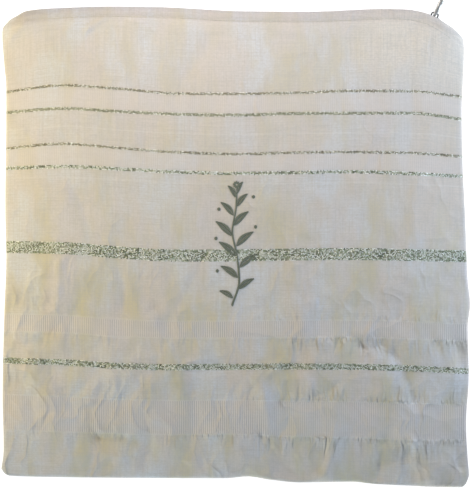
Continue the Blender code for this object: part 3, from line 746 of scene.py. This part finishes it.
# A float's shares of its room, its thickness, and how unevenly it lies
floatLook = {
    "start": -151.0, "end": 152.0, "fromEdge": 0.8, "shiftX": 0.12, "shiftY": 0.10, "spacing": (0.85, 1.15),
    "long": (0.72, 0.98), "wide": (0.66, 0.9), "thick": (0.12, 0.30), "lean": 0.12, "tilt": 0.10,
    "topShare": 0.72, "sunk": 0.08, "deepest": 0.1, "clump": 0.05, "dimmest": 0.85,
}


def makeTinselFinish():
    finish = Finish("silverThread", {"Metallic": 0.2, "Specular IOR Level": 0.8})
    tint = finish.node("Attribute", {"attribute_name": "tint"})
    y = finish.objectPlace()[1]
    scratch = finish.grain(6.0, 2.0)
    finish.feed("Base Color", finish.mix(scratch.step(0.4, 0.8) * 0.25, tint, (0.75, 0.77, 0.74)))
    finish.feed("Roughness", scratch * 0.25 + 0.22)
    finish.feed("Normal", finish.bump((y * 24.0).sine() * 0.4 + scratch, 0.00005, 0.5))
    return finish.material


def floatPlaces(row, random):
    # uneven places along every row of floats in one stripe
    look = floatLook
    pitch = row["height"] / row["rows"]
    for r in range(row["rows"]):
        offset = (r + 0.5) * pitch - row["height"] / 2
        x = look["start"] + row["step"] * 0.5 * (r % 2)
        while x < look["end"]:
            place = x + random.uniform(-look["shiftX"], look["shiftX"])
            middle = float(stripeY(row["stripe"], place))
            y = middle + offset + random.uniform(-look["shiftY"], look["shiftY"])
            right = float(curveValues(rightEdge, y, 1)) - look["fromEdge"]
            left = float(curveValues(leftEdge, y, 1)) + look["fromEdge"]
            x += row["step"] * random.uniform(*look["spacing"])
            if left < place < right and random.uniform() >= row["gap"]:
                yield place, y


def floatPoints(place, y, row, random):
    # a flat box, narrower at its top, that lies along the cloth
    look = floatLook
    spot, normal = onCloth(place, y)
    along = Vector((1, 0, 0))
    along = (along - normal * along.dot(normal)).normalized()
    along = (along + normal.cross(along) * random.normal(0, look["lean"])).normalized()
    side = normal.cross(along)
    longHalf = 0.5 * row["step"] * random.uniform(*look["long"])
    wideHalf = 0.5 * row["height"] / row["rows"] * random.uniform(*look["wide"])
    thick = random.uniform(*look["thick"])
    tiltX, tiltY = random.normal(0, look["tilt"], 2)
    for top, share in ((0, 1.0), (1, look["topShare"])):
        for cornerX, cornerY in ((-1, -1), (1, -1), (1, 1), (-1, 1)):
            tx, ty = cornerX * share, cornerY * share
            up = thick + tiltX * tx + tiltY * ty if top else -look["sunk"]
            yield spot + along * (tx * longHalf) + side * (ty * wideHalf) + normal * max(up, -look["deepest"])


def buildTinsel(name, rows, material):
    random = np.random.default_rng(19)
    boxFaces = ((0, 3, 2, 1), (4, 5, 6, 7), (0, 1, 5, 4), (1, 2, 6, 5), (2, 3, 7, 6), (3, 0, 4, 7))
    points, faces, tints = [], [], []
    for row in rows:
        for place, y in floatPlaces(row, random):
            first = len(points)
            points.extend(floatPoints(place, y, row, random))
            faces.extend(tuple(first + i for i in face) for face in boxFaces)
            clump = math.sin(place * 0.31) + math.sin(place * 0.113 + 1.0)
            draw = min(1.0, max(0.0, random.uniform() - floatLook["clump"] * clump))
            # each float's tint is its thread's own colour, a painted glint or a painted dark reflection
            tint = next(color for share, color in tinselTintsAndGlints[row["tints"]] if draw <= share)
            tint = np.array(tint) * random.uniform(floatLook["dimmest"], 1.0)
            tints.extend([(*tint, 1.0)] * 8)
    mesh = meshFromArrays(name, points, faces)
    layer = mesh.color_attributes.new(name="tint", type="FLOAT_COLOR", domain="POINT")
    layer.data.foreach_set("color", np.asarray(tints, float).ravel())
    piece = finishPiece(name, mesh, material, "bag", smooth=False)
    print(name, len(faces))
    return piece


tinselFinish = makeTinselFinish()
lineTinsel = buildTinsel("lineTinsel", tinsel[:4], tinselFinish)
bandTinsel = buildTinsel("bandTinsel", tinsel[4:], tinselFinish)


def makeThreadFinish(name, dark, pale, roughness):
    finish = Finish(name, {"Sheen Weight": 0.2, "Specular IOR Level": 0.5})
    ply = finish.grain(3.0, 2.0)
    color = finish.mix(ply.step(0.35, 0.7), dark, pale)
    finish.feed("Base Color", finish.mix(finish.grain(0.4, 2.0).step(0.4, 0.7) * 0.3, color, dark))
    finish.feed("Roughness", ply * 0.15 + roughness)
    finish.feed("Normal", finish.bump(ply, 0.00004, 0.6))
    return finish.material


# How a stitch arches: share of a half turn where it starts, share that it spans, flatness, depth of its ends
stitchArch = {"start": 0.08, "span": 0.84, "flat": 0.7, "sunk": 0.12}

# A leafy sprig in satin stitch
sprig = {
    "stem": ((-2.0, -40), (2.6, -24), (1.2, -8), (-1.8, 8), (0.6, 24), (1.0, 33)), "stemLength": 75,
    "stemWidth": 1.5, "stemThins": 0.35, "stemSlant": 0.35, "stemLift": 0.357,
    "thread": 0.24, "pitch": 0.40, "lift": 0.42,
    "leafStart": 1.0, "leafBend": 0.9, "leafSlant": 0.55, "leafUneven": 0.06,
    "veinGap": 0.10, "leastHalf": 0.12,
    "dark": (0.115, 0.135, 0.10), "pale": (0.22, 0.25, 0.19), "roughness": 0.42,
    "flower": (0.9, 38.4), "flowerRadius": 2.5, "petals": 9, "petalStitches": (-0.42, 0.0, 0.42),
    "flowerTurn": 0.2, "flowerHeart": 0.55,
    "buds": ((-10.5, 22.5), (11.8, 30.5), (-12.4, 3.5), (13.2, 11.0), (-11.6, -17.5), (12.6, -9.5)),
    "budRadius": 1.1, "budPitch": 0.36, "budStitches": 6,
}
# Leaves: share up the stem, angle from +X, length, width
leaves = (
    (0.06, 152, 9.5, 3.4), (0.14, 34, 11.5, 3.8), (0.24, 146, 13.0, 4.1), (0.33, 38, 13.5, 4.3),
    (0.43, 140, 14.0, 4.4), (0.52, 40, 14.0, 4.3), (0.61, 138, 13.5, 4.2), (0.70, 44, 12.8, 4.0),
    (0.79, 134, 11.5, 3.7), (0.87, 50, 10.2, 3.4), (0.95, 124, 8.6, 3.0), (0.985, 64, 7.8, 2.8),
)


def stemPoint(share):
    table = np.array(sprig["stem"], float)
    y = table[0, 1] + (table[-1, 1] - table[0, 1]) * share
    return np.array((float(curveValues(table, y, 1)), y))


def stitchPath(start, end, lift, count=5):
    # one stitch that arches over the cloth and dips into it at both ends
    arch = stitchArch
    path, ups = [], []
    for t in np.linspace(0, 1, count):
        place = start * (1 - t) + end * t
        spot, normal = onCloth(place[0], place[1])
        rise = lift * math.sin(math.pi * (arch["start"] + arch["span"] * t)) ** arch["flat"] - arch["sunk"]
        path.append(np.array(spot + normal * rise))
        ups.append(np.array(normal))
    return path, ups


def wayAndSide(way):
    way = np.asarray(way, float)
    return way, np.array((-way[1], way[0]))


def stemStitches(random):
    steps = int(sprig["stemLength"] / sprig["pitch"])
    for i in range(steps):
        share = i / (steps - 1)
        place, ahead = stemPoint(share), stemPoint(min(1, share + 0.01))
        way = (ahead - place) if share < 0.99 else np.array((0.0, 1.0))
        way, side = wayAndSide(way / np.linalg.norm(way))
        half = sprig["stemWidth"] / 2 * (1 - sprig["stemThins"] * share) * random.uniform(0.92, 1.08)
        reach = side * half + way * sprig["stemSlant"]
        yield place - reach, place + reach, sprig["stemLift"]


def leafStitches(random):
    # stitches that slant out from a leaf's middle vein, on both sides
    for share, angle, long, wide in leaves:
        base = stemPoint(share)
        way, side = wayAndSide((math.cos(math.radians(angle)), math.sin(math.radians(angle))))
        bend = sprig["leafBend"] * (-1 if angle > 90 else 1)
        count = int(long / sprig["pitch"])
        for i in range(count):
            t = (i + 0.6) / count
            middle = base + way * (sprig["leafStart"] + long * t) + side * (bend * 4 * t * (1 - t))
            half = wide / 2 * math.sin(math.pi * t ** 0.8) ** 0.85 + sprig["leastHalf"]
            for direction in (-1, 1):
                slant = sprig["leafSlant"] + random.uniform(-sprig["leafUneven"], sprig["leafUneven"])
                edge = middle + side * half * direction + way * slant
                yield middle + side * sprig["veinGap"] * direction, edge, sprig["lift"]


def flowerStitches():
    centre = np.array(sprig["flower"])
    for petal in range(sprig["petals"]):
        turn = 2 * math.pi * petal / sprig["petals"] + sprig["flowerTurn"]
        way, side = wayAndSide((math.cos(turn), math.sin(turn)))
        for offset in sprig["petalStitches"]:
            start = centre + way * sprig["flowerHeart"] + side * offset * 0.4
            end = centre + way * (sprig["flowerRadius"] - abs(offset)) + side * offset
            yield start, end, sprig["lift"]


def budStitches():
    for x, y in sprig["buds"]:
        for i in range(sprig["budStitches"]):
            offset = (i - (sprig["budStitches"] - 1) / 2) * sprig["budPitch"]
            half = math.sqrt(max(0.05, sprig["budRadius"] ** 2 - offset ** 2))
            yield np.array((x - half, y + offset)), np.array((x + half, y + offset)), sprig["lift"]


def buildSprig():
    random = np.random.default_rng(3)
    stitches = [*stemStitches(random), *leafStitches(random), *flowerStitches(), *budStitches()]
    paths, ups = zip(*(stitchPath(*stitch) for stitch in stitches))
    mesh = threadMesh("sprigStitches", paths, ups, sprig["thread"])
    finish = makeThreadFinish("greyGreenThread", sprig["dark"], sprig["pale"], sprig["roughness"])
    piece = finishPiece("sprigStitches", mesh, finish, "bag")
    print("sprig", len(paths))
    return piece


sprigStitches = buildSprig()

# The zip: its ends along X, coils, tapes, and how far they part beyond the slider
zipLook = {
    "start": -139.5, "end": 143.0, "stations": 150, "tapeFace": -0.80, "tapeThick": 0.40,
    "closed": 0.30, "opened": 1.15, "narrow": 1.6, "narrowNear": 0.25,
    "coilPitch": 1.3, "coilHalf": 0.85, "coilDepth": 0.46, "wire": 0.25, "coilSteps": 10, "coilInset": 2.5,
    "coilMiddle": 0.52, "coilApart": 1.55, "squeeze": 0.32, "squeezeBeyond": 2, "squeezeReach": 3.2,
    "ribAlong": 0.8, "ribAcross": 0.7,
    "tapeDark": (0.56, 0.53, 0.46), "tapePale": (0.66, 0.63, 0.56),
    "coilDark": (0.60, 0.58, 0.53), "coilPale": (0.70, 0.68, 0.62),
}


def topPoint(x):
    return np.array((x, float(curveValues(topEdge, x)), 0))


def zipStation(x):
    # the zip's face at one place along X
    along = topPoint(x + 0.5) - topPoint(x - 0.5)
    along = along / np.linalg.norm(along)
    planOut = np.array((-along[1], along[0], 0))
    left, right = x - topEdge[0, 0], topEdge[-1, 0] - x
    ends = float(easeIn(left, shape["zipEndSpread"]) * easeIn(right, shape["zipEndSpread"]))
    turned = float(quarterRound(left, shape["edgeRoll"]) * quarterRound(right, shape["edgeRoll"]))
    rise = shape["edgeLift"] * turned + shape["topRise"] * ends
    high = topPoint(x) - planOut * shape["zipBehind"]
    high[2] = shape["seamTop"] + rise * (1 - shape["topDrop"])
    low = topPoint(x) - planOut * (shape["zipBehind"] + shape["backSetback"] * ends)
    low[2] = shape["backRoll"]
    half = np.linalg.norm(high - low) / 2
    across = (high - low) / (2 * half)
    return {"middle": (low + high) / 2, "half": half, "along": along, "across": across,
            "out": np.cross(across, along)}


def zipOpening(x, closed, opened):
    beyond = (x - shape["sliderAt"]) + shape["sliderLength"] / 8
    return closed + (opened - closed) * float(easeIn(beyond, shape["sliderLength"] / 4))


def loftRings(bm, rings):
    for first, second in zip(rings, rings[1:]):
        for i in range(len(first)):
            j = (i + 1) % len(first)
            bm.faces.new((first[i], first[j], second[j], second[i]))
    bm.faces.new(rings[0])
    bm.faces.new(rings[-1])


def buildTapes():
    look = zipLook
    finish = Finish("zipTape", {"Sheen Weight": 0.15, "Specular IOR Level": 0.3})
    x, _, z = finish.objectPlace()
    rib = (x * (2 * math.pi / look["ribAlong"])).sine() * (z * (2 * math.pi / look["ribAcross"])).sine()
    fibre = finish.grain(2.0)
    finish.feed("Base Color", finish.mix(fibre.step(0.3, 0.7), look["tapeDark"], look["tapePale"]))
    finish.feed("Roughness", fibre * 0.15 + 0.68)
    finish.feed("Normal", finish.bump(rib + fibre, 0.00008, 0.8))
    for sign, name, node in ((1, "frontZipTape", "zip_tape_front"), (-1, "backZipTape", "zip_tape_back")):
        bm = bmesh.new()
        rings = []
        for x in np.linspace(look["start"], look["end"], look["stations"]):
            station = zipStation(float(x))
            near = look["narrowNear"]
            if station["half"] > look["narrow"]:
                near = zipOpening(x, look["closed"], look["opened"])
            far = max(station["half"] - 0.05, near + 0.3)
            ring = []
            for reach, depth in ((near, 0), (far, 0), (far, 1), (near, 1)):
                out = look["tapeFace"] - look["tapeThick"] * depth
                spot = station["middle"] + station["across"] * reach * sign + station["out"] * out
                ring.append(bm.verts.new(spot))
            rings.append(ring)
        loftRings(bm, rings)
        piece = finishPiece(name, meshFromBmesh(name, bm), finish.material, "bag", smooth=False)
        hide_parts(node)
        yield piece


zipTapes = list(buildTapes())
print("zip tapes")


def coilPath(sign):
    # one side's coil, squeezed towards the middle inside the slider
    look = zipLook
    count = int((look["end"] - look["start"] - 2 * look["coilInset"]) / look["coilPitch"] * look["coilSteps"])
    for i in range(count):
        x = look["start"] + look["coilInset"] + look["coilPitch"] * i / look["coilSteps"]
        station = zipStation(x)
        turn = 2 * math.pi * i / look["coilSteps"] + (0 if sign > 0 else math.pi)
        fromSlider = x - shape["sliderAt"] - look["squeezeBeyond"]
        inSlider = math.exp(-(fromSlider / look["squeezeReach"]) ** 4)
        half = look["coilHalf"] - look["squeeze"] * inSlider
        reach = zipOpening(x, look["coilMiddle"], look["coilApart"]) + half * math.cos(turn) * sign
        out = look["coilDepth"] * math.sin(turn)
        yield station["middle"] + station["across"] * reach * sign + station["out"] * out, station["along"]


def buildCoils():
    finish = Finish("zipCoil", {"Specular IOR Level": 0.5})
    grain = finish.grain(2.0, 2.0)
    finish.feed("Base Color", finish.mix(grain, zipLook["coilDark"], zipLook["coilPale"]))
    finish.feed("Roughness", grain * 0.12 + 0.34)
    finish.feed("Normal", finish.bump(grain, 0.00003, 0.4))
    paths, ups = zip(*(zip(*coilPath(sign)) for sign in (1, -1)))
    mesh = threadMesh("zipCoils", paths, ups, zipLook["wire"])
    piece = finishPiece("zipCoils", mesh, finish.material, "bag")
    print("zip coils", len(paths[0]))
    return piece


zipCoils = buildCoils()

# Top stitches along the zip, and a bar of stitches at each of its ends
stitchLook = {
    "start": -143.0, "end": 144.0, "pitch": 3.0, "long": 2.3, "middle": 1.2, "inward": 6.6,
    "lift": 0.30, "thread": 0.21, "bars": (-138.6, 141.8), "barStitches": 5, "barPitch": 0.5,
    "barReach": 1.9, "barSunk": 0.45, "barArch": 0.85,
    "dark": (0.50, 0.47, 0.41), "pale": (0.66, 0.63, 0.57), "roughness": 0.55,
}


def rowStitches(random):
    look = stitchLook
    x = look["start"]
    while x < look["end"]:
        along = zipStation(x + look["middle"])["along"]
        inward = np.array((along[1], -along[0])) * look["inward"]
        start, end = [topPoint(place)[:2] + inward for place in (x, x + look["long"])]
        yield stitchPath(start, end + random.uniform(-0.05, 0.05, 2), look["lift"])
        x += look["pitch"]


def barStitches():
    look = stitchLook
    for x in look["bars"]:
        for i in range(look["barStitches"]):
            station = zipStation(x + (i - (look["barStitches"] - 1) / 2) * look["barPitch"])
            reach = min(look["barReach"], station["half"] - 0.35)
            path = []
            for t in np.linspace(-1, 1, 7):
                out = look["barArch"] * math.cos(t * math.pi / 2) - look["barSunk"]
                path.append(station["middle"] + station["across"] * reach * t + station["out"] * out)
            yield path, [station["out"]] * len(path)


def buildStitches():
    look = stitchLook
    paths, ups = zip(*rowStitches(np.random.default_rng(11)), *barStitches())
    mesh = threadMesh("topStitches", paths, ups, look["thread"])
    finish = makeThreadFinish("creamThread", look["dark"], look["pale"], look["roughness"])
    piece = finishPiece("topStitches", mesh, finish, "bag")
    print("stitches", len(paths))
    return piece


topStitches = buildStitches()

# Pull tab, out from its hinge: place, half width, half thickness
tabLook = {
    "hinge": (129.601, 148.504, 5.031), "lean": -2.0, "bar": 0.45, "eyeHalf": 1.2, "armHalf": 0.5,
    "body": (
        (3.55, 1.9, 1.2), (3.75, 2.1, 1.45), (4.6, 2.0, 1.5), (6.3, 1.7, 1.5), (8.4, 1.85, 1.52),
        (9.9, 2.1, 1.54), (10.7, 1.95, 1.45), (11.1, 1.5, 1.2), (11.3, 0.9, 0.7)),
    "arm": (
        (-0.8, 0.3, 0.35), (-0.6, 0.48, 0.72), (0.0, 0.5, 0.9), (1.6, 0.5, 1.25), (3.0, 0.5, 1.4),
        (3.9, 0.45, 1.3)),
    "grips": (7.4, 8.2, 9.0), "gripFace": 1.46, "gripHalf": 0.16, "gripWide": 1.25, "gripThick": 0.12,
    "dark": (0.42, 0.415, 0.39), "pale": (0.56, 0.55, 0.52),
    # the slider's near-black tints are painted shadow
    "sliderShadowDark": (0.11, 0.11, 0.10), "sliderShadowPale": (0.22, 0.22, 0.205),
}


def roundedRing(bm, y, middle, halfWidth, halfThick):
    # sixteen points of a rounded oblong, across the tab
    ring = []
    for i in range(16):
        turn = 2 * math.pi * (i + 0.5) / 16
        side, face = math.cos(turn), math.sin(turn)
        z = middle + halfWidth * math.copysign(abs(side) ** 0.45, side)
        x = halfThick * math.copysign(abs(face) ** 0.45, face)
        ring.append(bm.verts.new((x, y, z)))
    return ring


def addGrips(bm):
    # three low ribs across each face
    look = tabLook
    for y in look["grips"]:
        for face in (-1, 1):
            rings = []
            for step, share in ((-1, 0.9), (0, 1.0), (1, 0.9)):
                place = y + step * look["gripHalf"]
                rings.append(roundedRing(bm, place, 0, look["gripWide"] * share, look["gripThick"] * share))
                bmesh.ops.translate(bm, vec=(face * look["gripFace"], 0, 0), verts=rings[-1])
            loftRings(bm, rings)


def buildPullTab(material):
    look = tabLook
    station = zipStation(shape["sliderAt"])
    bm = bmesh.new()
    loftRings(bm, [roundedRing(bm, y, 0, wide, thick) for y, wide, thick in look["body"]])
    for side in (-1, 1):
        middle = side * (look["eyeHalf"] + look["armHalf"])
        loftRings(bm, [roundedRing(bm, y, middle, wide, thick) for y, wide, thick in look["arm"]])
    addGrips(bm)
    bmesh.ops.create_cone(
        bm, cap_ends=True, segments=14, radius1=look["bar"], radius2=look["bar"],
        depth=2 * look["eyeHalf"] + 0.9)
    axes = Matrix([Vector(station[name]) for name in ("along", "out", "across")]).transposed().to_4x4()
    turned = axes @ Matrix.Rotation(math.radians(look["lean"]), 4, "Z")
    bmesh.ops.transform(bm, matrix=Matrix.Translation(look["hinge"]) @ turned, verts=bm.verts)
    mesh = meshFromBmesh("pullTab", bm)
    mesh.shade_smooth()
    mesh.set_sharp_from_angle(angle=math.radians(50))
    piece = finishPiece("pullTab", mesh, material, "pull", smooth=False)
    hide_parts("zip_pull_tab")
    return piece


def makeMetalFinish(name, dark, pale):
    finish = Finish(name, {"Specular IOR Level": 0.5})
    x, y, z = finish.objectPlace()
    brushed = finish.noise((x * 0.8, y * 0.8, z * 9.0))
    worn = finish.grain(0.5)
    finish.feed("Base Color", finish.mix(worn.step(0.3, 0.7), dark, pale))
    finish.feed("Metallic", worn * 0.2 + 0.6)
    finish.feed("Roughness", brushed * 0.22 + 0.26)
    finish.feed("Normal", finish.bump(brushed, 0.00003, 0.5))
    return finish.material


# the slider is painted near black, as painted shadow under the top edge
shadowDarkSliderFinish = makeMetalFinish("shadowDarkSliderMetal", tabLook["sliderShadowDark"], tabLook["sliderShadowPale"])
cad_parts["zip_slider"].material_slots[0].material = shadowDarkSliderFinish
buildPullTab(makeMetalFinish("zipMetal", tabLook["dark"], tabLook["pale"]))
print("metal")

# Floor, camera and lamps, in metres; lamps: place, aim, size, power, colour
studio = {
    "floorHalf": 6.0, "floorBelow": 0.0004, "floorGlow": 0.82,
    "sky": (0.8, 0.88, 1.0, 1.0), "skyStrength": 0.25,
    "camera": (0.0002, -0.0001, 2.4), "lens": 271.8,
    "lamps": {
        "key": ((-0.015, 0.281, 0.2), (-0.004, 0.07, 0), 0.08, 0.439, (1.0, 0.925, 0.886)),
        "warmSide": ((-0.395, 0.076, 0.2), (-0.099, 0.019, 0), 0.1, 1.023, (1.0, 0.838, 0.481)),
        "coolSide": ((0.477, 0.138, 0.2), (0.119, 0.035, 0), 0.1, 1.509, (0.725, 0.847, 1.0)),
        "lowSide": ((-0.15, -0.8, 0.2), (-0.038, -0.2, 0), 0.14, 2.72, (0.78, 0.915, 1.0)),
    },
}


def buildFloor():
    bm = bmesh.new()
    bmesh.ops.create_grid(bm, x_segments=4, y_segments=4, size=studio["floorHalf"])
    bmesh.ops.translate(bm, vec=(0, 0, -studio["floorBelow"]), verts=bm.verts)
    mesh = bpy.data.meshes.new("floor")
    bm.to_mesh(mesh)
    bm.free()
    finish = Finish("paleFloor", {
        "Roughness": 0.9, "Base Color": (0.5, 0.5, 0.5, 1.0), "Specular IOR Level": 0.1,
        "Emission Color": (1.0, 1.0, 1.0, 1.0), "Emission Strength": studio["floorGlow"]})
    mesh.materials.append(finish.material)
    floor = bpy.data.objects.new("floor", mesh)
    bpy.context.scene.collection.objects.link(floor)


def addLamp(name, place, aim, size, power, color):
    light = bpy.data.lights.new(name, "AREA")
    light.shape = "DISK"
    light.size = size
    light.energy = power
    light.color = color
    lamp = bpy.data.objects.new(name, light)
    lamp.location = place
    lamp.rotation_euler = (Vector(place) - Vector(aim)).to_track_quat("Z", "Y").to_euler()
    bpy.context.scene.collection.objects.link(lamp)


def buildView():
    scene = bpy.context.scene
    scene.view_settings.view_transform = "Standard"
    scene.world = bpy.data.worlds.new("studio")
    scene.world.use_nodes = True
    sky = scene.world.node_tree.nodes["Background"]
    sky.inputs["Color"].default_value = studio["sky"]
    sky.inputs["Strength"].default_value = studio["skyStrength"]
    for name, lamp in studio["lamps"].items():
        addLamp(name, *lamp)
    camera = bpy.data.cameras.new("camera")
    camera.sensor_width = 36
    camera.lens = studio["lens"]
    camera.clip_end = 10
    holder = bpy.data.objects.new("camera", camera)
    holder.location = studio["camera"]
    scene.collection.objects.link(holder)
    scene.camera = holder


buildFloor()
buildView()
